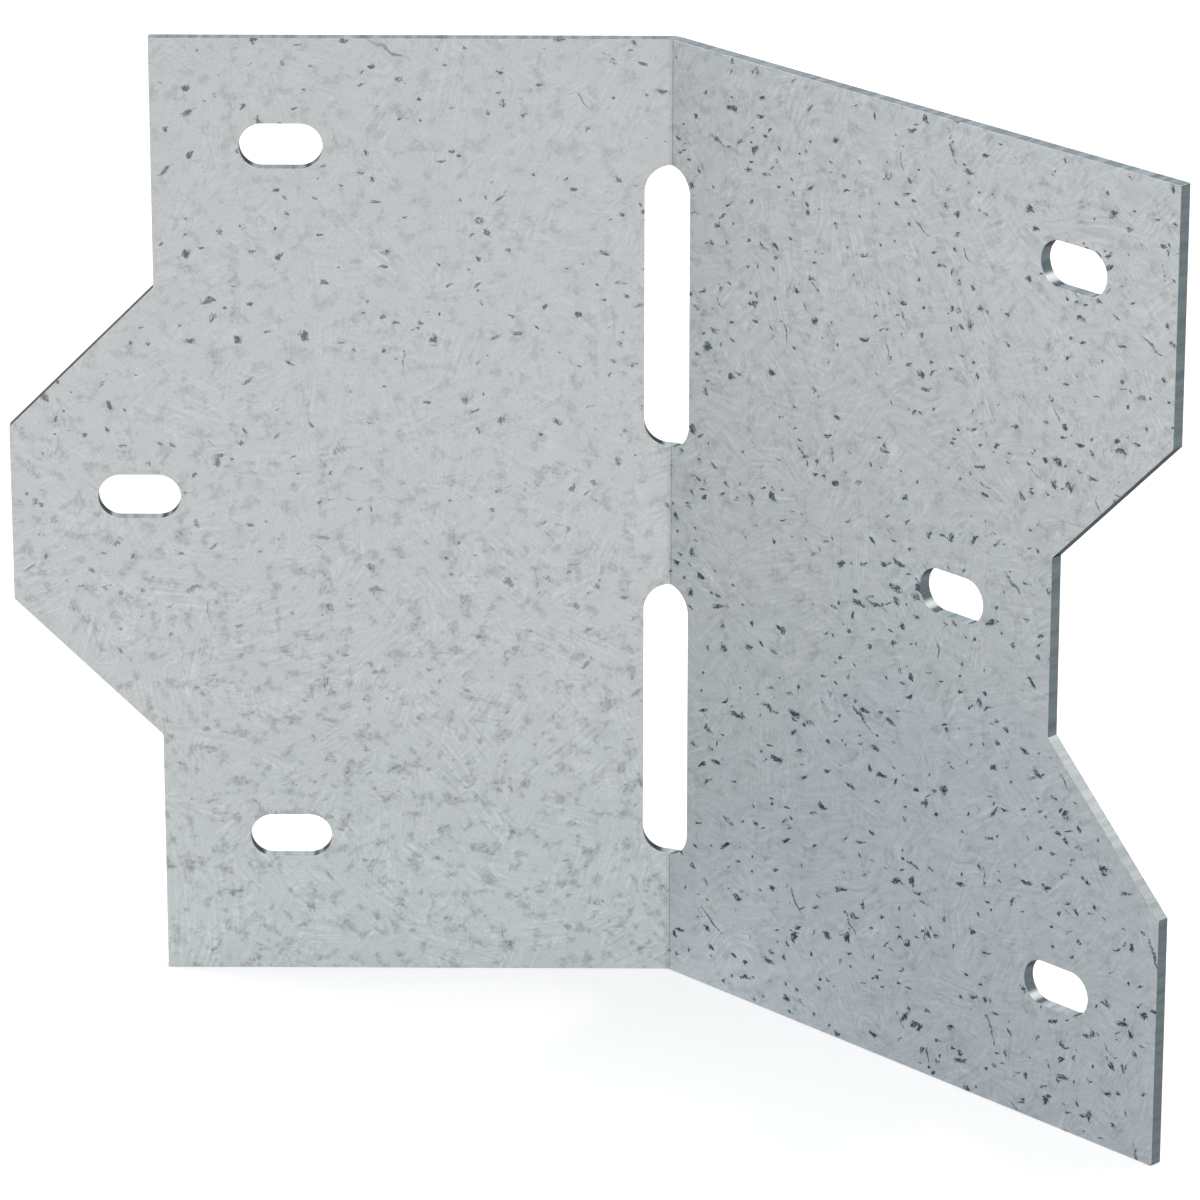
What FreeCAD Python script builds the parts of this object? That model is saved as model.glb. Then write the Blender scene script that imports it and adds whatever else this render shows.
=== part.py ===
import FreeCAD, Part
import math
import os

# Skewable angle: one steel sheet, blanked and pierced flat, then folded once along a slotted line.
# Frame: the Z axis is the line where the two back planes meet, and the lower end is at z = 0.
# Leg A runs towards -X with its back in the plane y = 0. Leg B runs towards +X and -Y.

# Driving dimensions, in millimetres and degrees
SHEET_THICKNESS = 1.17
FOLD_LENGTH = 85.725
FOLD_TURN = 45.0
FOLD_INSIDE_RADIUS = 0.4
NEUTRAL_LAYER_SHARE = 0.33
EDGE_BREAK = 0.04

# Blank widths, measured flat from the fold line: the tab of leg A is the notch of the next blank's leg B
NARROW_WIDTH = 44.45
TAB_DEPTH = 12.7
TAB_FLAT_HEIGHT = 15.875
TAB_SLOPE_HEIGHT = 12.7

# Nail slots run across the fold, one near each end of a leg and one midway between them.
# A slot's run is the straight stretch between its rounded ends.
NAIL_SLOT_WIDTH = 3.969
NAIL_SLOT_RUN = 3.175
NAIL_EDGE_DISTANCE = 11.1125
NAIL_LOWER_END_DISTANCE = 12.7
NAIL_UPPER_END_DISTANCE = 9.525

# Fold slots leave three webs of sheet to bend
FOLD_SLOT_WIDTH = 4.7625
END_WEB_HEIGHT = 11.1125
MIDDLE_WEB_HEIGHT = 12.7

# Worked out from the driving dimensions
TURN = math.radians(FOLD_TURN)
FOLD_OUTSIDE_RADIUS = FOLD_INSIDE_RADIUS + SHEET_THICKNESS
NEUTRAL_RADIUS = FOLD_INSIDE_RADIUS + NEUTRAL_LAYER_SHARE * SHEET_THICKNESS
SETBACK = FOLD_OUTSIDE_RADIUS * math.tan(TURN / 2)
FLAT_BEND_HALF = NEUTRAL_RADIUS * TURN / 2
FOLD_LINE_OFFSET = SETBACK - FLAT_BEND_HALF
WIDE_WIDTH = NARROW_WIDTH + TAB_DEPTH
FOLD_SLOT_LENGTH = (FOLD_LENGTH - 2 * END_WEB_HEIGHT - MIDDLE_WEB_HEIGHT) / 2
FOLD_SLOT_RUN = FOLD_SLOT_LENGTH - FOLD_SLOT_WIDTH
FOLD_SLOT_PITCH = FOLD_SLOT_LENGTH + MIDDLE_WEB_HEIGHT
FOLD_SLOT_HEIGHTS = [FOLD_LENGTH / 2 + side * FOLD_SLOT_PITCH / 2 for side in (-1, 1)]

# Directions, and the bend's centre at the lower end
ACROSS = FreeCAD.Vector(1, 0, 0)
BACK = FreeCAD.Vector(0, 1, 0)
UP = FreeCAD.Vector(0, 0, 1)
BEND_CENTRE = FreeCAD.Vector(-SETBACK, -FOLD_OUTSIDE_RADIUS, 0)

# Sections per bend that carry a fold slot round it, and the cosine over which two faces run smoothly
BEND_STEPS = 8
SMOOTH_COSINE = 0.5


def closed_face(corners):
    """Flat face inside a ring of corners."""
    return Part.Face(Part.makePolygon(corners + corners[:1]))


def on_leg(side, flat, height):
    """Point on the back of a leg that isn't turned yet, from its flat distance to the fold line."""
    return FreeCAD.Vector(side * (flat + FOLD_LINE_OFFSET), 0, height)


def slot_cutter(centre, direction, run, width):
    """Obround through a leg: two half circles joined by straight sides."""
    radius = width / 2
    tip = direction * radius
    flank = direction.cross(BACK) * radius
    start = centre - direction * (run / 2)
    end = centre + direction * (run / 2)
    edges = [
        Part.LineSegment(start + flank, end + flank).toShape(),
        Part.Arc(end + flank, end + tip, end - flank).toShape(),
        Part.LineSegment(end - flank, start - flank).toShape(),
        Part.Arc(start - flank, start - tip, start + flank).toShape(),
    ]
    outline = Part.Face(Part.Wire(edges))
    outline.translate(BACK * SHEET_THICKNESS)
    return outline.extrude(BACK * (-3 * SHEET_THICKNESS))


def leg(side, end_width, middle_width):
    """Flat leg from its bend tangent outwards, with its nail slots and its half of the fold slots."""
    flat_start = (FOLD_LENGTH - TAB_FLAT_HEIGHT) / 2
    flat_end = flat_start + TAB_FLAT_HEIGHT
    blank = closed_face([
        on_leg(side, FLAT_BEND_HALF, 0),
        on_leg(side, end_width, 0),
        on_leg(side, end_width, flat_start - TAB_SLOPE_HEIGHT),
        on_leg(side, middle_width, flat_start),
        on_leg(side, middle_width, flat_end),
        on_leg(side, end_width, flat_end + TAB_SLOPE_HEIGHT),
        on_leg(side, end_width, FOLD_LENGTH),
        on_leg(side, FLAT_BEND_HALF, FOLD_LENGTH),
    ])
    plate = blank.extrude(BACK * -SHEET_THICKNESS)

    lower = NAIL_LOWER_END_DISTANCE
    upper = FOLD_LENGTH - NAIL_UPPER_END_DISTANCE
    nail_places = [
        (end_width, lower),
        (middle_width, (lower + upper) / 2),
        (end_width, upper),
    ]
    cutters = []
    for width, height in nail_places:
        centre = on_leg(side, width - NAIL_EDGE_DISTANCE, height)
        cutters.append(slot_cutter(centre, ACROSS, NAIL_SLOT_RUN, NAIL_SLOT_WIDTH))
    for height in FOLD_SLOT_HEIGHTS:
        cutters.append(slot_cutter(on_leg(side, 0, height), UP, FOLD_SLOT_RUN, FOLD_SLOT_WIDTH))
    return plate.cut(cutters)


def at_bend(angle, radius, height):
    """Point at an angle round the bend, counted from leg A's tangent line."""
    outwards = FreeCAD.Vector(math.sin(angle), math.cos(angle), 0)
    return BEND_CENTRE + outwards * radius + UP * height


def bent_slot_cutter(height):
    """Fold slot carried round the bend, whose rounded ends keep their flat slope on every layer."""
    end_radius = FOLD_SLOT_WIDTH / 2
    rise_at_tangent = math.sqrt(end_radius**2 - FLAT_BEND_HALF**2)
    reach_at_tangent = FOLD_SLOT_RUN / 2 + rise_at_tangent
    inner = FOLD_INSIDE_RADIUS / 2
    outer = FOLD_OUTSIDE_RADIUS + SHEET_THICKNESS
    sections = []
    for step in range(-1, BEND_STEPS + 2):
        angle = TURN * step / BEND_STEPS
        flat = (angle - TURN / 2) * NEUTRAL_RADIUS
        slope_sum = (math.sqrt(end_radius**2 - flat**2) - rise_at_tangent) / NEUTRAL_RADIUS
        inner_reach = reach_at_tangent + slope_sum * inner
        outer_reach = reach_at_tangent + slope_sum * outer
        corners = [
            at_bend(angle, inner, height - inner_reach),
            at_bend(angle, outer, height - outer_reach),
            at_bend(angle, outer, height + outer_reach),
            at_bend(angle, inner, height + inner_reach),
        ]
        sections.append(closed_face(corners).OuterWire)
    return Part.makeLoft(sections, True)


def bend_webs():
    """Three webs of the bend: a turned strip of sheet that the fold slots cut through."""
    section = closed_face([
        at_bend(0, FOLD_INSIDE_RADIUS, 0),
        at_bend(0, FOLD_OUTSIDE_RADIUS, 0),
        at_bend(0, FOLD_OUTSIDE_RADIUS, FOLD_LENGTH),
        at_bend(0, FOLD_INSIDE_RADIUS, FOLD_LENGTH),
    ])
    strip = section.revolve(BEND_CENTRE, UP, -FOLD_TURN)
    return strip.cut([bent_slot_cutter(height) for height in FOLD_SLOT_HEIGHTS])


def rim_edges(sheet):
    """Square edges where a cut wall meets the front or the back of the sheet."""
    rims = []
    for edge in sheet.Edges:
        middle = edge.valueAt((edge.FirstParameter + edge.LastParameter) / 2)
        normals = []
        for face in sheet.ancestorsOfType(edge, Part.Face):
            normals.append(face.normalAt(*face.Surface.parameter(middle)))
        smooth = normals[0].dot(normals[1]) > SMOOTH_COSINE
        runs_through_sheet = math.isclose(edge.Length, SHEET_THICKNESS)
        if not smooth and not runs_through_sheet:
            rims.append(edge)
    return rims


def skewable_angle():
    """The folded sheet, with its tab on leg A, its notch in leg B and its sheared edges broken."""
    leg_a = leg(-1, NARROW_WIDTH, WIDE_WIDTH)
    leg_b = leg(1, WIDE_WIDTH, NARROW_WIDTH)
    leg_b.rotate(FreeCAD.Vector(), UP, -FOLD_TURN)
    sheet = leg_a.fuse([bend_webs(), leg_b]).removeSplitter()
    return sheet.makeChamfer(EDGE_BREAK, rim_edges(sheet))


os.makedirs("parts", exist_ok=True)
part = skewable_angle()
part.exportStep("parts/skewable_angle.step")
print("solids", len(part.Solids), "valid", part.isValid(), "volume", round(part.Volume, 2))
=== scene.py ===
"""Looks of the skewable angle: one galvanised sheet, pierced flat, then folded once along a slotted line."""

import logging
import math
from dataclasses import dataclass
from enum import IntEnum

import bpy
import numpy as np
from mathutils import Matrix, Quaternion, Vector
from mathutils.geometry import delaunay_2d_cdt


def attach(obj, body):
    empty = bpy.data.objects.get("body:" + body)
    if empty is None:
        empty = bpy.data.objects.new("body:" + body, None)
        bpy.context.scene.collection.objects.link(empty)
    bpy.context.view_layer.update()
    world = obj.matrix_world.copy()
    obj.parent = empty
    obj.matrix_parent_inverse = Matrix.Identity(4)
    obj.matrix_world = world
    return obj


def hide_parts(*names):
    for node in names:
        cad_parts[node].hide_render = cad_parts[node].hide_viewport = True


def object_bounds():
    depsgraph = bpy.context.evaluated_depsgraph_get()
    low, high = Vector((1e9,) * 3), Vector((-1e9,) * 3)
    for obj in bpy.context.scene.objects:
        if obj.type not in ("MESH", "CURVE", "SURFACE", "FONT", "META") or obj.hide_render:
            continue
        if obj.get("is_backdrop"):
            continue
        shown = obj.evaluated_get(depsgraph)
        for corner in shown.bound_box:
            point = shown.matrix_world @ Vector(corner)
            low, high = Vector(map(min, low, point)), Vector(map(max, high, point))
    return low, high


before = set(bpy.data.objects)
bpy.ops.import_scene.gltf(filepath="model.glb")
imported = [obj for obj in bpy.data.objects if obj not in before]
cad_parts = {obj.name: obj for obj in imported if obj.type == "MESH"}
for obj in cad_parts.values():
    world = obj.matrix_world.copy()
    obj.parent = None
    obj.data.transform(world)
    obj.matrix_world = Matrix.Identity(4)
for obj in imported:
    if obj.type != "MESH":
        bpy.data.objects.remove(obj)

LOG = logging.getLogger("skewable_angle")
MM = 0.001
NODE = "skewable_angle"
BODY = "root"

# Where each point of the sheet lies before it is folded: flat distance from the fold line and height, both
# in millimetres, then the share of the thickness from the front face to the back
PLACE_ATTRIBUTE = "flat_place"

# Distance below which two points of a skin count as one, in millimetres
MERGE_GAP = 1e-7

# Numbers of a Mix node's colour sockets, which share their names with its other sockets
MIX_FIRST = 6
MIX_SECOND = 7
MIX_RESULT = 2

Socket = bpy.types.NodeSocket
Signal = float | Socket
NodeInputs = dict[str | int, object]
Colour = tuple[float, float, float, float]
WHITE: Colour = (1.0, 1.0, 1.0, 1.0)


class Surface(IntEnum):
    """Material slots of the sheet."""

    COAT = 0
    CUT = 1


class Leg(IntEnum):
    """Legs of the sheet, by the sign of their flat distance from the fold line."""

    TAB_LEG = -1
    NOTCH_LEG = 1


@dataclass(frozen=True)
class CutPath:
    """Closed path that a cutting edge follows in the flat sheet.

    Args:
        points: Flat distance and height of each point, in metres.
        outward: Unit direction from the steel into the air at each point.
    """

    points: np.ndarray
    outward: np.ndarray


@dataclass(frozen=True)
class CutSection:
    """Section of a cut edge: a broken front corner, a wall through the sheet and a broken back corner.

    Args:
        thickness: Sheet thickness.
        edge_break: Reach of a broken corner, along the face and down the wall.
    """

    thickness: float
    edge_break: float = 0.04 * MM

    def profile(self) -> tuple[np.ndarray, np.ndarray]:
        """Points of the section from the front face to the back face.

        Across a broken corner the normal turns from the face's to the wall's, so that the corner looks worn.

        Returns:
            Inset from the wall and depth from the back, then the normal's outward and frontward shares.
        """
        inset = np.array([self.edge_break, 0.0, 0.0, self.edge_break])
        depth = np.array([self.thickness, self.thickness - self.edge_break, self.edge_break, 0.0])
        outward = np.array([0.0, 1.0, 1.0, 0.0])
        frontward = np.array([1.0, 0.0, 0.0, -1.0])
        return np.column_stack([inset, depth]), np.column_stack([outward, frontward])


def rounded_path(corners: np.ndarray, radii: np.ndarray, steps: int) -> CutPath:
    """Closed path through corners, each rounded by an arc that touches both of its runs.

    An arc starts radius times the tangent of half the turn before its corner, and its centre lies one radius
    to the side that the path turns to. A corner with no radius gives one point. Steel is on the path's left.

    Args:
        corners: Corner points in order, one row each.
        radii: Radius of each corner, or zero for a point on a straight run.
        steps: Steps of an arc.

    Returns:
        The path, with its outward directions.
    """
    run_out = np.roll(corners, -1, axis=0) - corners
    run_out = run_out / np.linalg.norm(run_out, axis=1, keepdims=True)
    run_in = np.roll(run_out, 1, axis=0)
    heading_in = np.arctan2(run_in[:, 1], run_in[:, 0])
    cross = run_in[:, 0] * run_out[:, 1] - run_in[:, 1] * run_out[:, 0]
    turn = np.arctan2(cross, np.sum(run_in * run_out, axis=1))
    start = corners - run_in * (radii * np.tan(np.abs(turn) / 2))[:, None]
    reach = (np.sign(turn) * radii)[:, None]
    centre = start + reach * np.stack([-run_in[:, 1], run_in[:, 0]], axis=1)
    heading = heading_in[:, None] + turn[:, None] * np.linspace(0, 1, steps + 1)
    outward = np.stack([np.sin(heading), -np.cos(heading)], axis=2)
    points = centre[:, None] + reach[:, None] * outward
    kept = (radii > 0)[:, None] | (np.arange(steps + 1) == 0)
    return CutPath(points[kept], outward[kept])


def obround_path(
    centre: np.ndarray, axis: np.ndarray, run: float, radius: float, angles: np.ndarray
) -> CutPath:
    """Closed path round a slot: two half circles, a run apart, joined by straight sides.

    A point lies one radius from its half circle's centre, at an angle from the slot's axis.

    Args:
        centre: Middle of the slot.
        axis: Unit direction of the slot.
        run: Length of the straight sides.
        radius: Radius of the ends.
        angles: Angles of the points of an end, clockwise from the axis, from a quarter turn back to one on.

    Returns:
        The path, clockwise, so that the steel is on its left.
    """
    flank = np.array([axis[1], -axis[0]])
    spoke = np.cos(angles)[:, None] * axis + np.sin(angles)[:, None] * flank
    spokes = np.concatenate([spoke, -spoke])
    ends = np.repeat([axis, -axis], len(angles), axis=0)
    return CutPath(centre + ends * run / 2 + spokes * radius, -spokes)


def inside_paths(places: np.ndarray, starts: np.ndarray, ends: np.ndarray) -> np.ndarray:
    """Which places lie in the steel, by an odd count of path segments that a level ray to one side crosses.

    Args:
        places: Points to test.
        starts: First points of all path segments.
        ends: Last points of all path segments.

    Returns:
        One truth value for each place.
    """
    level = places[:, 1:2]
    spans = (starts[:, 1] > level) != (ends[:, 1] > level)
    rise = np.where(starts[:, 1] == ends[:, 1], 1, ends[:, 1] - starts[:, 1])
    crossing = starts[:, 0] + (ends[:, 0] - starts[:, 0]) * (level - starts[:, 1]) / rise
    return np.sum(spans & (places[:, 0:1] < crossing), axis=1) % 2 == 1


@dataclass
class FoldedSheet:
    """The sheet: its blank, its slots and the fold that turns one leg from the other.

    Args:
        thickness: Thickness of the coated sheet.
        fold_length: Length along the fold.
        fold_turn: Angle that the notch leg is turned by.
        inside_radius: Inside radius of the bend.
        neutral_share: Share of the thickness from the bend's inside to the layer that keeps its length.
        narrow_width: Flat width from the fold line to the notch's bottom, and to the tab's foot.
        tab_depth: How far the tab stands out, and how deep the notch is.
        tab_flat_height: Height of the tab's outer edge.
        tab_slope_height: Height of a sloped shoulder.
        blank_corner_radius: Rounding of the blank's corners.
        nail_slot_width: Width of a nail slot.
        nail_slot_run: Straight stretch of a nail slot.
        nail_edge_distance: Distance from a nail slot's middle to the edge beside it.
        nail_lower_end_distance: Distance from the lowest nail slots to the lower end.
        nail_upper_end_distance: Distance from the highest nail slots to the upper end.
        fold_slot_width: Width of a fold slot.
        end_web_height: Height of the web at either end of the fold.
        middle_web_height: Height of the web between the fold slots.
        bend_margin: Flat strip beside the bend that its outer columns take in.
        bend_steps: Steps round the bend.
        corner_steps: Steps round a corner of the blank.
        slot_end_steps: Steps round the end of a slot.
    """

    thickness: float = 1.17 * MM
    fold_length: float = 85.725 * MM
    fold_turn: float = math.radians(45)
    inside_radius: float = 0.4 * MM
    neutral_share: float = 0.33
    narrow_width: float = 44.45 * MM
    tab_depth: float = 12.7 * MM
    tab_flat_height: float = 15.875 * MM
    tab_slope_height: float = 12.7 * MM
    blank_corner_radius: float = 0.12 * MM
    nail_slot_width: float = 3.969 * MM
    nail_slot_run: float = 3.175 * MM
    nail_edge_distance: float = 11.1125 * MM
    nail_lower_end_distance: float = 12.7 * MM
    nail_upper_end_distance: float = 9.525 * MM
    fold_slot_width: float = 4.7625 * MM
    end_web_height: float = 11.1125 * MM
    middle_web_height: float = 12.7 * MM
    bend_margin: float = 0.06 * MM
    bend_steps: int = 10
    corner_steps: int = 4
    slot_end_steps: int = 48

    def __post_init__(self) -> None:
        """Works out the bend's sizes and the flat columns that carry the skins round it."""
        self.outside_radius = self.inside_radius + self.thickness
        self.neutral_radius = self.inside_radius + self.neutral_share * self.thickness
        self.bend_half = self.neutral_radius * self.fold_turn / 2
        setback = self.outside_radius * math.tan(self.fold_turn / 2)
        self.bend_centre = np.array([-setback, -self.outside_radius])
        self.section = CutSection(self.thickness)
        beyond = self.bend_half + self.bend_margin
        bend = np.linspace(-self.bend_half, self.bend_half, self.bend_steps + 1)
        self.columns = np.concatenate([[-beyond], bend, [beyond]])

    def turned(self, flat_distance: np.ndarray) -> tuple[np.ndarray, np.ndarray, np.ndarray]:
        """How far the sheet has turned at each flat distance from the fold line.

        The neutral layer keeps its length, so the turn is the part of the distance within the bend, divided
        by the neutral radius.

        Args:
            flat_distance: Flat distances, negative on the tab leg.

        Returns:
            The unit directions along the sheet and out of its back, and the distance beyond the bend.
        """
        within = np.clip(flat_distance, -self.bend_half, self.bend_half)
        angle = within / self.neutral_radius + self.fold_turn / 2
        along = np.stack([np.cos(angle), -np.sin(angle)], axis=-1)
        back = np.stack([np.sin(angle), np.cos(angle)], axis=-1)
        return along, back, flat_distance - within

    def fold(self, flat: np.ndarray, normals: np.ndarray) -> tuple[np.ndarray, np.ndarray]:
        """Carries points and normals of the flat sheet round the bend.

        A point goes round the bend's centre at the outside radius less its depth, then straight on along its
        leg.

        Args:
            flat: Flat distance, height and depth from the back of each point.
            normals: Shares of each normal along the sheet, upwards and frontwards.

        Returns:
            The folded points and normals.
        """
        along, back, beyond = self.turned(flat[:, 0])
        radius = self.outside_radius - flat[:, 2]
        level = self.bend_centre + back * radius[:, None] + along * beyond[:, None]
        points = np.column_stack([level, flat[:, 1]])
        turned_normals = along * normals[:, 0:1] - back * normals[:, 2:3]
        return points, np.column_stack([turned_normals, normals[:, 1]])

    def outline(self) -> CutPath:
        """Outer path of the blank, anticlockwise from its lower columns: notch leg, upper columns, tab leg.

        Returns:
            The path, with small rounds at its corners.
        """
        wide_width = self.narrow_width + self.tab_depth
        flat_start = (self.fold_length - self.tab_flat_height) / 2
        flat_end = self.fold_length - flat_start
        slope_start = flat_start - self.tab_slope_height
        slope_end = flat_end + self.tab_slope_height
        heights = np.array([0, slope_start, flat_start, flat_end, slope_end, self.fold_length])
        is_middle = np.array([False, False, True, True, False, False])
        notch_leg = np.column_stack([np.where(is_middle, self.narrow_width, wide_width), heights])
        tab_leg = np.column_stack([-np.where(is_middle, wide_width, self.narrow_width), heights])[::-1]
        lower = np.column_stack([self.columns, np.zeros_like(self.columns)])
        upper = np.column_stack([self.columns[::-1], np.full_like(self.columns, self.fold_length)])
        runs = np.zeros(len(self.columns))
        rounds = np.full(len(heights), self.blank_corner_radius)
        corners = np.concatenate([lower, notch_leg, upper, tab_leg])
        radii = np.concatenate([runs, rounds, runs, rounds])
        return rounded_path(corners, radii, self.corner_steps)

    def nail_slots(self, leg: Leg) -> list[CutPath]:
        """Three slots of a leg, across the fold, each a set distance in from the edge beside it.

        Args:
            leg: The leg that they are in.

        Returns:
            Their paths, from the lowest.
        """
        wide_width = self.narrow_width + self.tab_depth
        end_width, middle_width = wide_width, self.narrow_width
        if leg is Leg.TAB_LEG:
            end_width, middle_width = middle_width, end_width
        lower = self.nail_lower_end_distance
        upper = self.fold_length - self.nail_upper_end_distance
        angles = np.linspace(-math.pi / 2, math.pi / 2, self.slot_end_steps + 1)
        places = [(end_width, lower), (middle_width, (lower + upper) / 2), (end_width, upper)]
        paths = []
        for width, height in places:
            centre = np.array([leg * (width - self.nail_edge_distance), height])
            axis = np.array([1.0, 0.0])
            paths.append(obround_path(centre, axis, self.nail_slot_run, self.nail_slot_width / 2, angles))
        return paths

    def fold_slot_angles(self) -> np.ndarray:
        """Angles of a fold slot's end: even steps beside the bend, and the bend's columns within it.

        Returns:
            The angles from a quarter turn back to a quarter turn on.
        """
        skin_radius = self.fold_slot_width / 2 + self.section.edge_break
        columns = np.arcsin(self.columns / skin_radius)
        even = np.linspace(-math.pi / 2, math.pi / 2, 2 * self.slot_end_steps + 1)
        step = even[1] - even[0]
        before = even[even < columns[0] - step / 2]
        after = even[even > columns[-1] + step / 2]
        return np.concatenate([before, columns, after])

    def fold_slots(self) -> list[CutPath]:
        """Two slots along the fold line, with a web beyond each end.

        Returns:
            Their paths, from the lower.
        """
        webs = 2 * self.end_web_height + self.middle_web_height
        length = (self.fold_length - webs) / 2
        run = length - self.fold_slot_width
        first = self.end_web_height + length / 2
        angles = self.fold_slot_angles()
        paths = []
        for height in (first, first + length + self.middle_web_height):
            centre = np.array([0.0, height])
            axis = np.array([0.0, 1.0])
            paths.append(obround_path(centre, axis, run, self.fold_slot_width / 2, angles))
        return paths

    def web_edges(self, starts: list[int]) -> np.ndarray:
        """Edges that tie the bend's columns across the three webs, so that no face spans two columns.

        Half of the outline's points are its lower columns and the notch leg, and the upper columns come next.

        Args:
            starts: Number of the first point of the outline and of the two fold slots.

        Returns:
            Pairs of point numbers.
        """
        outline, lower_slot, upper_slot = starts
        column = np.arange(len(self.columns))
        angles = self.fold_slot_angles()
        first_column = int(np.searchsorted(angles, 0)) - len(self.columns) // 2
        upper_end = first_column + column
        lower_end = len(angles) + first_column + column[::-1]
        notch_leg_points = (lower_slot - outline) // 2 - len(self.columns)
        top_edge = len(self.columns) + notch_leg_points + column[::-1]
        pairs = [
            (outline + column, lower_slot + lower_end),
            (lower_slot + upper_end, upper_slot + lower_end),
            (upper_slot + upper_end, outline + top_edge),
        ]
        return np.concatenate([np.stack(pair, axis=1) for pair in pairs])

    def skin(self, boundary: np.ndarray, loops: list[np.ndarray], webs: np.ndarray) -> np.ndarray:
        """Triangles of one face of the flat sheet, between its outline and its slots.

        Args:
            boundary: Flat points of all paths.
            loops: Point numbers of each path.
            webs: Edges that the triangles keep to.

        Returns:
            Point numbers of each triangle, anticlockwise.
        """
        edges = np.concatenate([np.stack([loop, np.roll(loop, -1)], axis=1) for loop in loops])
        constraints = np.concatenate([edges, webs])
        made = delaunay_2d_cdt((boundary / MM).tolist(), constraints.tolist(), [], 0, MERGE_GAP)
        if len(made[0]) != len(boundary):
            raise ValueError("the sheet's paths cross or touch")
        triangles = np.array(made[2])
        centres = boundary[triangles].mean(axis=1)
        return triangles[inside_paths(centres, boundary[edges[:, 0]], boundary[edges[:, 1]])]

    def build(self) -> bpy.types.Object:
        """Makes the sheet: a cut section carried along every path, closed by a front and a back skin.

        Returns:
            The piece, at its place in the frame.
        """
        nail_slots = self.nail_slots(Leg.TAB_LEG) + self.nail_slots(Leg.NOTCH_LEG)
        paths = [self.outline(), *self.fold_slots(), *nail_slots]
        places, shares = self.section.profile()
        across = len(places)
        points = np.concatenate([path.points for path in paths])
        outward = np.concatenate([path.outward for path in paths])
        counts = np.array([len(path.points) for path in paths])
        starts = np.cumsum(counts) - counts
        loops = [start + np.arange(count) for start, count in zip(starts, counts)]

        # Cut edges: every path point carries the whole section
        level = points[:, None] - outward[:, None] * places[None, :, 0:1]
        depth = np.broadcast_to(places[:, 1], level.shape[:2])
        flat = np.concatenate([level, depth[:, :, None]], axis=2).reshape(-1, 3)
        sideways = outward[:, None] * shares[None, :, 0:1]
        frontward = np.broadcast_to(shares[:, 1], level.shape[:2])
        flat_normals = np.concatenate([sideways, frontward[:, :, None]], axis=2).reshape(-1, 3)
        here = np.concatenate(loops)
        following = np.concatenate([np.roll(loop, -1) for loop in loops])
        row = np.arange(across - 1)
        corners = [
            here[:, None] * across + row,
            here[:, None] * across + row + 1,
            following[:, None] * across + row + 1,
            following[:, None] * across + row,
        ]
        walls = np.stack(corners, axis=2).reshape(-1, 4)
        is_wall = np.tile(row > 0, len(here))

        # Skins share the first and the last row of the cut edges
        webs = self.web_edges([int(start) for start in starts[:3]])
        front = self.skin(level[:, 0], loops, webs) * across
        back = self.skin(level[:, -1], loops, webs)[:, ::-1] * across + across - 1
        skins = np.concatenate([front, back])

        vertices, normals = self.fold(flat, flat_normals)
        place = np.column_stack([flat[:, :2] / MM, 1 - flat[:, 2] / self.thickness])
        surface = np.where(is_wall, Surface.CUT, Surface.COAT)
        surface = np.concatenate([surface, np.full(len(skins), Surface.COAT)])
        faces = walls.tolist() + skins.tolist()
        return sheet_object("folded_sheet", vertices, normals, faces, surface, place)


def sheet_object(
    name: str,
    vertices: np.ndarray,
    normals: np.ndarray,
    faces: list[list[int]],
    surface: np.ndarray,
    place: np.ndarray,
) -> bpy.types.Object:
    """Puts worked-out arrays into a mesh object at the origin.

    Args:
        name: Name of the piece.
        vertices: Points in the frame.
        normals: Normal of each point.
        faces: Point numbers of each face.
        surface: Material slot of each face.
        place: Flat place of each point, for the finish.

    Returns:
        The object, linked to the scene.
    """
    mesh = bpy.data.meshes.new(name)
    mesh.from_pydata(vertices.tolist(), [], faces)
    mesh.polygons.foreach_set("material_index", surface.astype(np.int32))
    mesh.polygons.foreach_set("use_smooth", np.ones(len(surface), dtype=bool))
    attribute = mesh.attributes.new(PLACE_ATTRIBUTE, "FLOAT_VECTOR", "POINT")
    attribute.data.foreach_set("vector", place.astype(np.float32).ravel())
    mesh.update()
    mesh.normals_split_custom_set_from_vertices(normals.tolist())
    piece = bpy.data.objects.new(name, mesh)
    bpy.context.scene.collection.objects.link(piece)
    return piece


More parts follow.
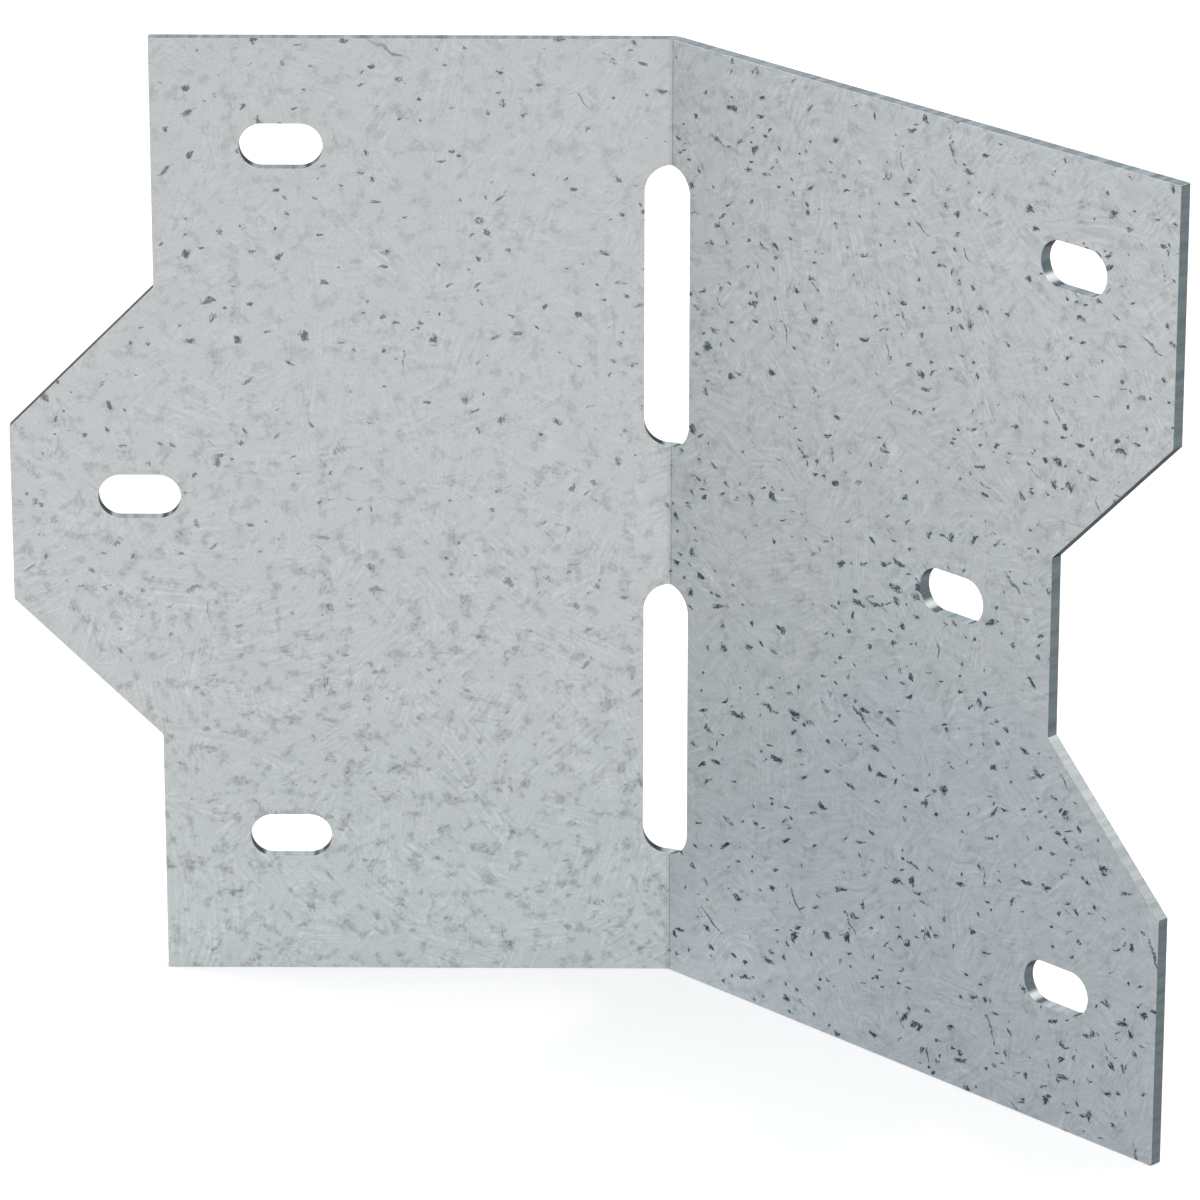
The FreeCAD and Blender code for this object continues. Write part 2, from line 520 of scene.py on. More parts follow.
class NodeBench:
    """Makes and wires the nodes of one material or world."""

    def __init__(self, owner: bpy.types.Material | bpy.types.World) -> None:
        """Clears the owner's node tree, ready for new nodes."""
        owner.use_nodes = True
        self.tree = owner.node_tree
        self.tree.nodes.clear()

    def add(self, kind: str, inputs: NodeInputs | None = None, **settings: object) -> bpy.types.Node:
        """Adds a node, sets its properties, and sets or wires its inputs.

        Args:
            kind: Node type.
            inputs: Value or output socket for each input, by name or number.
            **settings: Properties of the node.

        Returns:
            The node.
        """
        node = self.tree.nodes.new(kind)
        for name, value in settings.items():
            setattr(node, name, value)
        for key, value in (inputs or {}).items():
            if isinstance(value, Socket):
                self.tree.links.new(value, node.inputs[key])
            else:
                node.inputs[key].default_value = value
        return node

    def math(self, operation: str, *values: Signal) -> Socket:
        """Result of a Math node on up to three values."""
        return self.add("ShaderNodeMath", dict(enumerate(values)), operation=operation).outputs[0]

    def product(self, first: Signal, *others: Signal) -> Signal:
        """Product of several values.

        Args:
            first: First value.
            *others: Values to multiply it by, one after the other.

        Returns:
            The product.
        """
        result = first
        for other in others:
            result = self.math("MULTIPLY", result, other)
        return result

    def between(self, share: Socket, low: float, high: float) -> Socket:
        """Value on the way from one level to another, by its share of the way."""
        return self.math("MULTIPLY_ADD", share, high - low, low)

    def vector(self, operation: str, *values: object) -> Socket:
        """Vector result of a Vector Math node."""
        return self.add("ShaderNodeVectorMath", dict(enumerate(values)), operation=operation).outputs[0]

    def pushed(self, place: Socket, drift: Socket, reach: float) -> Socket:
        """Flat place moved by a drift times a reach."""
        return self.vector("MULTIPLY_ADD", drift, (reach, reach, 0.0), place)

    def turned(self, place: Socket, angle: Signal) -> Socket:
        """Flat place turned by an angle, in radians."""
        inputs = {"Vector": place, "Angle": angle}
        return self.add("ShaderNodeVectorRotate", inputs, rotation_type="Z_AXIS").outputs[0]

    def stretched(self, place: Socket, length: float, width: float) -> Socket:
        """Flat place counted in strokes of a length and a width."""
        return self.vector("MULTIPLY", place, (1 / length, 1 / width, 1.0))

    def parts(self, place: Socket) -> tuple[Socket, ...]:
        """Three numbers of a place."""
        return tuple(self.add("ShaderNodeSeparateXYZ", {0: place}).outputs)

    def draws(self, colour: Socket) -> tuple[Socket, ...]:
        """Three numbers that were drawn as one colour."""
        return tuple(self.add("ShaderNodeSeparateColor", {0: colour}).outputs)

    def cells(self, place: Socket, spacing: float) -> bpy.types.bpy_prop_collection:
        """Outputs of a pattern of scattered cells, by their mean spacing in millimetres."""
        inputs = {"Vector": place, "Scale": 1 / spacing}
        return self.add("ShaderNodeTexVoronoi", inputs, voronoi_dimensions="2D").outputs

    def scaled(self, colour: object, factor: Socket) -> Socket:
        """Colour times a factor."""
        inputs = {0: colour, "Scale": factor}
        return self.add("ShaderNodeVectorMath", inputs, operation="SCALE").outputs[0]

    def mixed(self, share: Socket, first: object, second: object) -> Socket:
        """Colour between two, by the share of the second."""
        inputs = {"Factor": share, MIX_FIRST: first, MIX_SECOND: second}
        return self.add("ShaderNodeMix", inputs, data_type="RGBA").outputs[MIX_RESULT]

    def metal(self, colour: Socket, roughness: float, grazing_tint: Colour = WHITE) -> None:
        """Ends the material in bare metal.

        Args:
            colour: Colour of the metal.
            roughness: Roughness of the metal.
            grazing_tint: Tint of its reflection at a grazing angle.
        """
        finish = {"Metallic": 1.0, "Roughness": roughness, "Specular Tint": grazing_tint}
        shader = self.add("ShaderNodeBsdfPrincipled", {"Base Color": colour, **finish})
        self.add("ShaderNodeOutputMaterial", {"Surface": shader.outputs[0]})


@dataclass(frozen=True)
class Ramp:
    """Smooth change from one level to another as a value grows.

    Args:
        low: Value where the change starts.
        high: Value where the change ends.
        start: Level before the change.
        end: Level after the change.
    """

    low: float
    high: float
    start: float = 0.0
    end: float = 1.0

    def at(self, bench: NodeBench, value: Socket) -> Socket:
        """Level for a value."""
        inputs = {0: value, 1: self.low, 2: self.high, 3: self.start, 4: self.end}
        return bench.add("ShaderNodeMapRange", inputs, interpolation_type="SMOOTHSTEP").outputs[0]


@dataclass(frozen=True)
class Grain:
    """Flat noise.

    Args:
        scale: Changes for each unit of a place.
        detail: Number of finer layers.
        roughness: Strength of a finer layer, as a share of the one before.
    """

    scale: float = 1.0
    detail: float = 0.0
    roughness: float = 0.5

    def outputs(self, bench: NodeBench, place: Socket) -> bpy.types.bpy_prop_collection:
        """Outputs of the noise: a number first, and a colour."""
        inputs = {"Vector": place, "Scale": self.scale, "Detail": self.detail, "Roughness": self.roughness}
        return bench.add("ShaderNodeTexNoise", inputs, noise_dimensions="2D").outputs

    def at(self, bench: NodeBench, place: Socket) -> Socket:
        """Noise around one half."""
        return self.outputs(bench, place)[0]

    def around_zero(self, bench: NodeBench, place: Socket) -> Socket:
        """Noise around zero."""
        return bench.math("SUBTRACT", self.at(bench, place), 0.5)

    def drift(self, bench: NodeBench, place: Socket) -> Socket:
        """Drift around zero, in each direction by itself."""
        return bench.vector("SUBTRACT", self.outputs(bench, place)["Color"], (0.5, 0.5, 0.5))


@dataclass(frozen=True)
class SheetPlace:
    """Sockets that tell a finish where on the flat sheet it is.

    Args:
        flat: Flat distance and height in millimetres, with the back's well away from the front's.
        along: Flat distance from the fold line, in millimetres.
        height: Height, in millimetres.
        upper: Share of the way from the lower part of the sheet to the upper.
        notch_leg: One on the notch leg, zero on the tab leg.
        broad_sway: Slow drift around zero, which bends the outlines of whole crystals.
        fine_sway: Quick drift around zero, which bends small outlines.
    """

    flat: Socket
    along: Socket
    height: Socket
    upper: Socket
    notch_leg: Socket
    broad_sway: Socket
    fine_sway: Socket


@dataclass(frozen=True)
class Levels:
    """A level that changes smoothly over the sheet.

    Args:
        tab_leg_low: Level on the tab leg near its lower end.
        tab_leg_high: Level on the tab leg near its upper end.
        notch_leg_low: Level on the notch leg near its lower end.
        notch_leg_high: Level on the notch leg near its upper end.
    """

    tab_leg_low: float
    tab_leg_high: float
    notch_leg_low: float
    notch_leg_high: float

    def at(self, bench: NodeBench, here: SheetPlace) -> Socket:
        """Level at a place: up each leg, and over from the tab leg to the notch leg.

        Args:
            bench: The material's nodes.
            here: Place on the sheet.

        Returns:
            The level.
        """
        tab_leg = bench.between(here.upper, self.tab_leg_low, self.tab_leg_high)
        notch_leg = bench.between(here.upper, self.notch_leg_low, self.notch_leg_high)
        step = bench.math("SUBTRACT", notch_leg, tab_leg)
        return bench.math("MULTIPLY_ADD", step, here.notch_leg, tab_leg)


@dataclass(frozen=True)
class SpeckKind:
    """One kind of dark speck in the coat, at most one in each cell of a scattered pattern.

    Args:
        spacing: Mean distance between cells, in millimetres.
        half_length: Shortest and longest half length, in millimetres.
        slimness: Least and greatest length for its width.
        heading: Main direction from the level, in radians.
        heading_spread: Turn to either side of the main direction, in radians.
        fray: Changes of its outline for each millimetre along it and across it.
        share: Share of cells that hold a speck.
        depth: Strength of a speck.
        shift: Shift of the pattern, in millimetres.
    """

    spacing: float
    half_length: tuple[float, float]
    slimness: tuple[float, float]
    heading: float
    heading_spread: float
    fray: tuple[float, float]
    share: Levels
    depth: Levels
    shift: float


@dataclass(frozen=True)
class Specks:
    """Dark specks of several kinds, crowded in some places.

    Args:
        kinds: Kinds of speck.
        wavering: Reach of the drift that bends their outlines, in millimetres.
        crowds: Noise that crowds them.
        crowding: Number of specks for the mean number, from a sparse place to a crowded one.
        taper: Share of its width that a speck loses over half its length.
        least_width: Least share of its width.
        fraying: Noise that frays a speck's outline.
        fray_reach: How far the noise moves the outline.
        fray_base: Where the outline is when there is no noise.
        fading: How far the faintest speck shrinks.
        edge: Strength from the outline inwards.
    """

    kinds: tuple[SpeckKind, ...]
    wavering: float = 0.6
    crowds: Grain = Grain(0.16)
    crowding: Ramp = Ramp(0.3, 0.7, 0.4, 1.6)
    taper: float = 0.35
    least_width: float = 0.3
    fraying: Grain = Grain(1.2, 1.0, 0.7)
    fray_reach: float = 2.5
    fray_base: float = -0.25
    fading: float = 0.6
    edge: Ramp = Ramp(-0.25, 0.9)

    def layer(
        self, bench: NodeBench, here: SheetPlace, wavering: Socket, crowding: Socket, kind: SpeckKind
    ) -> Signal:
        """Strength of one kind of speck.

        Each cell's speck is a drop about the cell's point: its length, slimness, direction and faintness are
        drawn for the cell, its width tapers along its length, and noise frays it. The strength falls with the
        squares of a place's shares of the length and of the width.

        Args:
            bench: The material's nodes.
            here: Place on the sheet.
            wavering: Flat place, moved about.
            crowding: Number of specks for the mean number.
            kind: The kind of speck.

        Returns:
            Strength from 0 to 1.
        """
        moved = bench.vector("ADD", wavering, (kind.shift, kind.shift, 0.0))
        cells = bench.cells(moved, kind.spacing)
        centre = cells["Position"]
        turn_draw, size_draw, share_draw = bench.draws(cells["Color"])
        first_turn = kind.heading_spread - kind.heading
        last_turn = -kind.heading_spread - kind.heading
        turn = bench.between(turn_draw, first_turn, last_turn)
        turned = bench.turned(bench.vector("SUBTRACT", moved, centre), turn)
        along, across, _ = bench.parts(turned)
        half_length = bench.between(bench.product(size_draw, size_draw), *kind.half_length)
        slimness = bench.between(turn_draw, *kind.slimness)
        run = bench.math("DIVIDE", along, half_length)
        taper = bench.math("MAXIMUM", bench.math("MULTIPLY_ADD", run, -self.taper, 1.0), self.least_width)
        half_width = bench.math("DIVIDE", bench.product(taper, half_length), slimness)
        breadth = bench.math("DIVIDE", across, half_width)
        reach = bench.math("MULTIPLY_ADD", run, run, bench.product(breadth, breadth))
        brush = bench.vector("MULTIPLY_ADD", turned, (*kind.fray, 0.0), centre)
        fray = bench.math("MULTIPLY_ADD", self.fraying.at(bench, brush), self.fray_reach, self.fray_base)
        share = bench.product(kind.share.at(bench, here), crowding)
        present = bench.math("LESS_THAN", share_draw, share)
        faintness = bench.math("DIVIDE", share_draw, share)
        field = bench.math("MULTIPLY_ADD", faintness, -self.fading, bench.math("SUBTRACT", fray, reach))
        return bench.product(self.edge.at(bench, field), present, kind.depth.at(bench, here))

    def strength(self, bench: NodeBench, here: SheetPlace) -> Socket:
        """Strength of the strongest speck at a place.

        Args:
            bench: The material's nodes.
            here: Place on the sheet.

        Returns:
            Strength from 0 to 1.
        """
        wavering = bench.pushed(here.flat, here.fine_sway, self.wavering)
        crowding = self.crowding.at(bench, self.crowds.at(bench, here.flat))
        strongest: Signal = 0.0
        for kind in self.kinds:
            layer = self.layer(bench, here, wavering, crowding, kind)
            strongest = bench.math("MAXIMUM", strongest, layer)
        return strongest


@dataclass(frozen=True)
class Crystals:
    """Sockets of scattered crystals.

    Args:
        turned: Flat place turned along the crystal.
        from_heart: Way from the crystal's heart, in millimetres.
        colour: Colour drawn for the crystal.
        draw: Number drawn for the crystal.
    """

    turned: Socket
    from_heart: Socket
    colour: Socket
    draw: Socket


@dataclass(frozen=True)
class CrystalField:
    """Crystals of one size, each with a direction of its own.

    Args:
        size: Mean size of a crystal, in millimetres.
        bowing: Reach of the drift that bends their outlines, as a share of the size.
    """

    size: float
    bowing: float = 0.9

    def scatter(self, bench: NodeBench, here: SheetPlace, sway: Socket) -> Crystals:
        """Scatters the crystals.

        Args:
            bench: The material's nodes.
            here: Place on the sheet.
            sway: Drift that bends the crystals' outlines.

        Returns:
            The crystals' sockets.
        """
        edge = bench.pushed(here.flat, sway, self.bowing * self.size)
        cells = bench.cells(edge, self.size)
        colour = cells["Color"]
        turn_draw, draw, _ = bench.draws(colour)
        turned = bench.turned(here.flat, bench.math("MULTIPLY", turn_draw, 2 * math.pi))
        from_heart = bench.vector("SUBTRACT", edge, cells["Position"])
        return Crystals(turned, from_heart, colour, draw)


@dataclass(frozen=True)
class Needles:
    """Needles along crystals: noise stretched in each crystal's direction, other in each crystal.

    Args:
        length: Length of a needle, in millimetres.
        width: Width of a needle, in millimetres.
        grain: The noise, for a place counted in needles.
        shift: Most that the noise is shifted from crystal to crystal.
    """

    length: float
    width: float
    grain: Grain = Grain(roughness=0.55)
    shift: float = 40.0

    def height(self, bench: NodeBench, crystals: Crystals) -> Socket:
        """Needle height around zero."""
        stretched = bench.stretched(crystals.turned, self.length, self.width)
        return self.grain.around_zero(bench, bench.pushed(stretched, crystals.colour, self.shift))


@dataclass(frozen=True)
class Fans:
    """Needles that spread from a crystal's heart: noise that changes faster round it than outwards.

    Args:
        spokes: Changes of the noise for each radian round the heart.
        outward: Changes of the noise for each millimetre outwards.
        grain: The noise.
        shift: Most that the noise is shifted from crystal to crystal.
    """

    spokes: float = 7.0
    outward: float = 0.45
    grain: Grain = Grain(1.0, 2.0, 0.6)
    shift: float = 30.0

    def height(self, bench: NodeBench, crystals: Crystals) -> Socket:
        """Needle height around zero.

        Args:
            bench: The material's nodes.
            crystals: The crystals that they are in.

        Returns:
            The height.
        """
        heading = bench.vector("NORMALIZE", crystals.from_heart)
        round_heart = bench.vector("MULTIPLY", heading, (self.spokes, self.spokes, 0.0))
        spoke = bench.pushed(round_heart, crystals.from_heart, self.outward)
        return self.grain.around_zero(bench, bench.pushed(spoke, crystals.colour, self.shift))


@dataclass(frozen=True)
class Feathers:
    """Feathery crystals, clearer in some places, with fine light lines in some of them.

    Args:
        field: The crystals.
        fronds: Needles along a crystal.
        fans: Needles from its heart.
        clearings: Noise that makes the needles clearer.
        clearness: How clear the needles are, from a dull place to a clear one.
        lines: Fine lines along a crystal.
        line_edge: Strength of a line, by its height.
        lined: Share of the lines, by the crystal's drawn number.
        needle_levels: How clear the needles are over the sheet.
        line_levels: How clear the lines are over the sheet.
    """

    field: CrystalField = CrystalField(5.5)
    fronds: Needles = Needles(3.0, 0.34, Grain(1.0, 2.0, 0.55))
    fans: Fans = Fans()
    clearings: Grain = Grain(0.3)
    clearness: Ramp = Ramp(0.38, 0.62, 0.45, 1.4)
    lines: Needles = Needles(6.0, 0.17)
    line_edge: Ramp = Ramp(0.16, 0.26)
    lined: Ramp = Ramp(0.4, 0.6)
    needle_levels: Levels = Levels(0.28, 0.16, 0.25, 0.24)
    line_levels: Levels = Levels(0.08, 0.04, 0.1, 0.08)

    def tone(self, bench: NodeBench, here: SheetPlace) -> Socket:
        """Change of tone by the needles and the lines.

        Args:
            bench: The material's nodes.
            here: Place on the sheet.

        Returns:
            Change around zero.
        """
        crystals = self.field.scatter(bench, here, here.broad_sway)
        needles = bench.math("ADD", self.fronds.height(bench, crystals), self.fans.height(bench, crystals))
        clear = self.clearness.at(bench, self.clearings.at(bench, here.flat))
        clear = bench.product(clear, self.needle_levels.at(bench, here))
        lines = self.line_edge.at(bench, self.lines.height(bench, crystals))
        lines = bench.product(lines, self.lined.at(bench, crystals.draw), self.line_levels.at(bench, here))
        return bench.math("MULTIPLY_ADD", needles, clear, lines)


@dataclass(frozen=True)
class Smudges:
    """Soft dark patches, which short strokes hatch.

    Args:
        field: Small crystals that the strokes follow.
        strokes: The strokes.
        stroke_edge: Strength of a stroke, by its height.
        patches: Noise of the patches.
        dark: Darkening of a patch, by the noise.
        patch_share: Share of the darkening between strokes.
        hatch_share: Share that a stroke adds.
        combed: Strength of the strokes in clean zinc beside a patch, by the crystal's drawn number.
        comb_edge: Share of those strokes, by the noise.
        levels: How dark the patches are over the sheet.
    """

    field: CrystalField = CrystalField(1.7)
    strokes: Needles = Needles(0.8, 0.14)
    stroke_edge: Ramp = Ramp(0.0, 0.2)
    patches: Grain = Grain(0.65, 2.0, 0.68)
    dark: Ramp = Ramp(0.5, 0.74)
    patch_share: float = 0.62
    hatch_share: float = 0.45
    combed: Ramp = Ramp(0.78, 0.92, 0.0, 0.5)
    comb_edge: Ramp = Ramp(0.4, 0.6)
    levels: Levels = Levels(0.34, 0.18, 0.14, 0.2)

    def darkening(self, bench: NodeBench, here: SheetPlace) -> Signal:
        """Darkening by the patches and their strokes.

        Args:
            bench: The material's nodes.
            here: Place on the sheet.

        Returns:
            Darkening from zero.
        """
        crystals = self.field.scatter(bench, here, here.fine_sway)
        hatch = self.stroke_edge.at(bench, self.strokes.height(bench, crystals))
        patches = self.patches.at(bench, here.flat)
        hatched = bench.math("MULTIPLY_ADD", hatch, self.hatch_share, self.patch_share)
        hatched = bench.product(self.dark.at(bench, patches), hatched)
        combs = bench.product(self.combed.at(bench, crystals.draw), self.comb_edge.at(bench, patches))
        both = bench.math("MULTIPLY_ADD", combs, hatch, hatched)
        return bench.product(both, self.levels.at(bench, here))


@dataclass(frozen=True)
class DrainStreaks:
    """Streaks where the molten zinc drained off, all near one direction.

    Args:
        bowing: Reach of the drift that bends them, in millimetres.
        heading: Their direction from the level, in radians.
        length: Length of a streak, in millimetres.
        width: Width of a streak, in millimetres.
        grain: The noise, for a place counted in streaks.
        levels: How clear the streaks are over the sheet.
    """

    bowing: float = 3.5
    heading: float = 0.4
    length: float = 3.2
    width: float = 0.55
    grain: Grain = Grain(1.0, 2.0, 0.6)
    levels: Levels = Levels(0.1, 0.1, 0.3, 0.26)

    def tone(self, bench: NodeBench, here: SheetPlace) -> Signal:
        """Change of tone by the streaks.

        Args:
            bench: The material's nodes.
            here: Place on the sheet.

        Returns:
            Change around zero.
        """
        bowed = bench.pushed(here.flat, here.broad_sway, self.bowing)
        stretched = bench.stretched(bench.turned(bowed, -self.heading), self.length, self.width)
        return bench.product(self.grain.around_zero(bench, stretched), self.levels.at(bench, here))


@dataclass(frozen=True)
class FoldShade:
    """Painted shade along the fold: a dull band over the bend, and a fine dark line at the band's far side.

    Args:
        half_width: Half width of the band, measured flat, in millimetres.
        blend: Width of the band's soft edge, in millimetres.
        band_shade: Tone of the band's painted shade.
        dark_line: Tone of the painted dark line, by the distance from it, in millimetres.
    """

    half_width: float = 0.31
    blend: float = 0.06
    band_shade: float = 0.91
    dark_line: Ramp = Ramp(0.03, 0.08, 0.62, 1.0)

    def tone(self, bench: NodeBench, here: SheetPlace) -> Signal:
        """Tone of the coat near the fold, with its painted shade.

        Args:
            bench: The material's nodes.
            here: Place on the sheet.

        Returns:
            The tone, which is one away from the fold.
        """
        # Painted shade: a darker band over the bend and a darker line at the band's far side
        band = Ramp(self.half_width, self.half_width + self.blend, self.band_shade, 1.0)
        from_middle = bench.math("ABSOLUTE", here.along)
        from_dark_line = bench.math("ABSOLUTE", bench.math("SUBTRACT", here.along, self.half_width))
        return bench.product(band.at(bench, from_middle), self.dark_line.at(bench, from_dark_line))


@dataclass(frozen=True)
class ZincCoat:
    """Hot-dip zinc: feathery crystals, faint smudges and dark specks, more of them on the notch leg.

    Args:
        colour: Colour of the clean coat.
        shaded_colour: Colour of the painted shade on the notch leg, darker outwards and towards its lower
            end.
        shade_along: Share of the painted shade, by the flat distance from the fold line.
        shade_height: Share of the painted shade, by the height.
        foot_light_along: Painted light that makes the coat paler at the foot, by the flat distance from the
            fold line.
        foot_light_height: Share of the painted light at the foot, by the height.
        foot_light_on_legs: Share of the painted light on the tab leg and on the notch leg.
        foot_light_tone: How much paler the painted light makes the coat there.
        speck_colour: Colour of a full-strength speck.
        roughness: Roughness of the coat.
        grit: Fine noise of the coat.
        grit_share: How clear the fine noise is.
        back_shift: How far the back's finish is from the front's, in millimetres.
        upper: Share of the upper levels, by the height.
        notch_leg: Share of the notch leg's levels, by the flat distance from the fold line.
        broad_sway: Noise of the slow drift.
        fine_sway: Noise of the quick drift.
        feathers: Crystals.
        smudges: Dark patches.
        streaks: Streaks of drained zinc.
        fold_shade: Painted shade along the fold.
        specks: Dark specks.
    """

    colour: Colour = (0.492, 0.526, 0.537, 1.0)
    # Painted shade: the notch leg's coat is darkened outwards and towards its lower end
    shaded_colour: Colour = (0.385, 0.42, 0.444, 1.0)
    shade_along: Ramp = Ramp(0.0, 30.0, 0.5, 1.0)
    shade_height: Ramp = Ramp(0.0, 80.0, 1.4, 0.3)
    # Painted light: the coat is made paler at the foot, most on the notch leg near the fold
    foot_light_along: Ramp = Ramp(5.0, 35.0, 1.0, 0.0)
    foot_light_height: Ramp = Ramp(0.0, 20.0, 1.0, 0.0)
    foot_light_on_legs: tuple[float, float] = (0.25, 1.0)
    foot_light_tone: float = 0.18
    speck_colour: Colour = (0.03, 0.055, 0.07, 1.0)
    roughness: float = 0.46
    grit: Grain = Grain(5.0)
    grit_share: float = 0.12
    back_shift: float = 230.0
    upper: Ramp = Ramp(15.0, 65.0)
    notch_leg: Ramp = Ramp(-1.0, 1.0)
    broad_sway: Grain = Grain(0.22)
    fine_sway: Grain = Grain(0.85)
    feathers: Feathers = Feathers()
    smudges: Smudges = Smudges()
    streaks: DrainStreaks = DrainStreaks()
    # Painted shade along the fold
    fold_shade: FoldShade = FoldShade()
    specks: Specks = Specks((
        SpeckKind(
            spacing=1.9,
            half_length=(0.22, 0.54),
            slimness=(1.0, 2.0),
            heading=-0.5,
            heading_spread=1.1,
            fray=(3.0, 4.5),
            share=Levels(0.22, 0.34, 0.5, 0.5),
            depth=Levels(0.4, 0.8, 1.0, 0.9),
            shift=11.0,
        ),
        SpeckKind(
            spacing=2.4,
            half_length=(0.36, 0.86),
            slimness=(2.0, 3.6),
            heading=0.2,
            heading_spread=0.5,
            fray=(2.6, 6.0),
            share=Levels(0.06, 0.14, 0.55, 0.32),
            depth=Levels(0.4, 0.7, 1.0, 0.9),
            shift=43.0,
        ),
        SpeckKind(
            spacing=6.0,
            half_length=(0.9, 2.2),
            slimness=(8.0, 12.0),
            heading=-0.9,
            heading_spread=0.6,
            fray=(3.4, 1.6),
            share=Levels(0.06, 0.12, 0.44, 0.34),
            depth=Levels(0.4, 0.5, 0.8, 0.7),
            shift=71.0,
        ),
    ))

    def place(self, bench: NodeBench) -> SheetPlace:
        """Reads the place on the flat sheet.

        Args:
            bench: The material's nodes.

        Returns:
            The place's sockets.
        """
        attribute = bench.add("ShaderNodeAttribute", attribute_name=PLACE_ATTRIBUTE)
        along, height, depth = bench.parts(attribute.outputs["Vector"])
        on_back = bench.math("GREATER_THAN", depth, 0.5)
        shifted = bench.math("MULTIPLY_ADD", on_back, self.back_shift, height)
        flat = bench.add("ShaderNodeCombineXYZ", {0: along, 1: shifted}).outputs[0]
        return SheetPlace(
            flat=flat,
            along=along,
            height=height,
            upper=self.upper.at(bench, height),
            notch_leg=self.notch_leg.at(bench, along),
            broad_sway=self.broad_sway.drift(bench, flat),
            fine_sway=self.fine_sway.drift(bench, flat),
        )

    def clean_colour(self, bench: NodeBench, here: SheetPlace) -> Socket:
        """Colour before crystals and specks: painted shade that darkens the notch leg outwards, and painted
        light that makes the coat paler at the foot.

        Args:
            bench: The material's nodes.
            here: Place on the sheet.

        Returns:
            The colour.
        """
        # Painted shade on the notch leg, darker outwards and towards its lower end
        leg_shade = bench.product(self.shade_along.at(bench, here.along), here.notch_leg)
        leg_shade = bench.product(leg_shade, self.shade_height.at(bench, here.height))
        base = bench.mixed(leg_shade, self.colour, self.shaded_colour)
        # Painted light at the foot, most on the notch leg near the fold
        leg_share = bench.between(here.notch_leg, *self.foot_light_on_legs)
        painted_light = bench.product(self.foot_light_along.at(bench, here.along), leg_share)
        painted_light = bench.product(painted_light, self.foot_light_height.at(bench, here.height))
        return bench.scaled(base, bench.math("MULTIPLY_ADD", painted_light, self.foot_light_tone, 1.0))

    def material(self) -> bpy.types.Material:
        """Makes the coat.

        Returns:
            The material.
        """
        material = bpy.data.materials.new("zinc_coat")
        bench = NodeBench(material)
        here = self.place(bench)
        grit = self.grit.around_zero(bench, here.flat)
        tone = bench.math("MULTIPLY_ADD", grit, self.grit_share, 1.0)
        tone = bench.math("ADD", tone, self.feathers.tone(bench, here))
        tone = bench.math("SUBTRACT", tone, self.smudges.darkening(bench, here))
        tone = bench.math("ADD", tone, self.streaks.tone(bench, here))
        # Painted shade along the fold
        tone = bench.product(tone, self.fold_shade.tone(bench, here))
        shade = bench.scaled(self.clean_colour(bench, here), tone)
        speckled = bench.mixed(self.specks.strength(bench, here), shade, self.speck_colour)
        bench.metal(speckled, self.roughness)
        return material


@dataclass(frozen=True)
class ShearedSteel:
    """Cut wall of the sheet: dark steel with streaks.

    Args:
        colour: Colour of the wall.
        roughness: Roughness of the wall.
        grazing_tint: Tint of its reflection at a grazing angle.
        streaks: Noise of the streaks.
        streak_share: How clear the streaks are.
    """

    colour: tuple[float, float, float] = (0.125, 0.16, 0.177)
    roughness: float = 0.27
    grazing_tint: Colour = (0.3, 0.289, 0.284, 1.0)
    streaks: Grain = Grain(1.1, 2.0, 0.6)
    streak_share: float = 0.8

    def material(self) -> bpy.types.Material:
        """Makes the cut wall.

        Returns:
            The material.
        """
        material = bpy.data.materials.new("sheared_steel")
        bench = NodeBench(material)
        place = bench.add("ShaderNodeAttribute", attribute_name=PLACE_ATTRIBUTE).outputs["Vector"]
        streaks = self.streaks.around_zero(bench, place)
        tone = bench.math("MULTIPLY_ADD", streaks, self.streak_share, 1.0)
        bench.metal(bench.scaled(self.colour, tone), self.roughness, self.grazing_tint)
        return material


@dataclass(frozen=True)
class Softbox:
    """A soft lamp that faces the object.

    Args:
        name: Name of the lamp.
        azimuth: Direction that it stands in, in degrees, counted as the camera's is.
        elevation: Height above the horizon, in degrees.
        distance: Distance from the object.
        width: Width of the lamp.
        height: Height of the lamp.
        radiance: Brightness of its face, where 1 is white.
        colour: Colour of its light.
    """

    name: str
    azimuth: float
    elevation: float
    distance: float
    width: float
    height: float
    radiance: float
    colour: tuple[float, float, float] = (1.0, 1.0, 1.0)

    def build(self, target: Vector) -> bpy.types.Object:
        """Makes the lamp: its power is its radiance times its area times pi.

        Args:
            target: Point that it faces.

        Returns:
            The lamp.
        """
        data = bpy.data.lights.new(self.name, "AREA")
        data.shape = "RECTANGLE"
        data.size = self.width
        data.size_y = self.height
        data.color = self.colour
        data.energy = self.radiance * math.pi * self.width * self.height
        lamp = bpy.data.objects.new(self.name, data)
        away = direction(self.azimuth, self.elevation)
        lamp.location = target + away * self.distance
        lamp.rotation_euler = (-away).to_track_quat("-Z", "Y").to_euler()
        bpy.context.scene.collection.objects.link(lamp)
        return lamp


def direction(azimuth: float, elevation: float) -> Vector:
    """Unit direction towards a stand point: azimuth 0 is in front, towards -Y, and 90 is at the right."""
    turn, rise = math.radians(azimuth), math.radians(elevation)
    return Vector((math.sin(turn) * math.cos(rise), -math.cos(turn) * math.cos(rise), math.sin(rise)))


